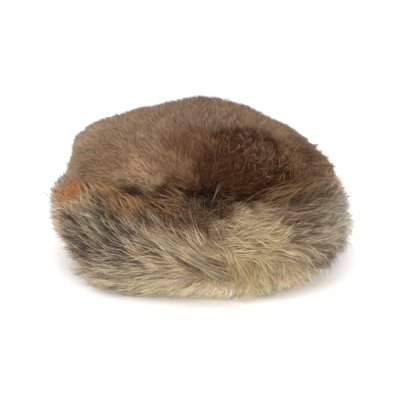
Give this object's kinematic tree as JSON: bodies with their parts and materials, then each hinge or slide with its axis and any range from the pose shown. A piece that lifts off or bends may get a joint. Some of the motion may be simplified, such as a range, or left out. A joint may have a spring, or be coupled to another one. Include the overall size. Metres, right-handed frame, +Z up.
{
  "type": "fur cap",
  "caption": "Round winter cap with a soft crown of short plush fur and a broad turned-up band of long fur, hollow beneath for the head, resting on its rim.",
  "frame": {"origin": "middle of the cap's bounding box at its underside, on the plane that the rim rests on", "axes": "+Z up, -Y the front of the cap with the parting of the band, +X to the right of someone who looks at the front"},
  "size_m": [0.2762, 0.2902, 0.144],
  "materials": {
    "crown_fur": "short dense plush fur, taupe on the left and dark chocolate brown on the right, with paler curly guard hairs",
    "band_fur_left": "long soft guard hair, grizzled grey-brown with pale tips, fox red at the upper outer corner",
    "band_fur_right": "long soft guard hair, pale cream and straw, grey at the outer tips",
    "skin": "bare suede side of the pelt, seen from below"
  },
  "bodies": {
    "root": {"crown": "crown_fur", "band_left": "band_fur_left", "band_right": "band_fur_right"}
  },
  "joints": []
}
